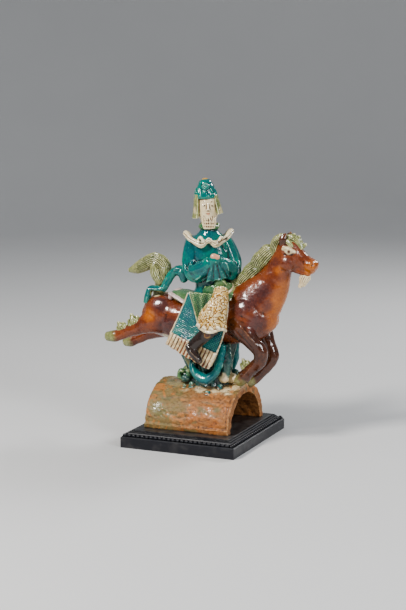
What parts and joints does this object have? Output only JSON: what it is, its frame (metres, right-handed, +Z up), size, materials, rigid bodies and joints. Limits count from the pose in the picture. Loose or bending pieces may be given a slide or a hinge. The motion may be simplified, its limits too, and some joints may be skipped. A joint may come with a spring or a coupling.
{
  "type": "roof ridge figure",
  "caption": "Glazed pottery ridge tile with a robed rider on a galloping horse, held up by a cloud scroll on a barrel tile, standing on a moulded wooden plinth.",
  "frame": {"origin": "centre of the plinth's underside", "axes": "+X along the tile towards the horse's head, -Y the side the rider faces, +Z up"},
  "size_m": [0.3626, 0.226, 0.427],
  "materials": {
    "glazed_pottery": "lead-glazed earthenware: amber horse, turquoise robe and cloud, straw mane and tail, unglazed buff and orange tile",
    "ebonised_wood": "ebonised hardwood with a soft polish and worn brown edges"
  },
  "bodies": {
    "root": {"ridge_tile_figure": "glazed_pottery", "display_plinth": "ebonised_wood"}
  },
  "joints": []
}
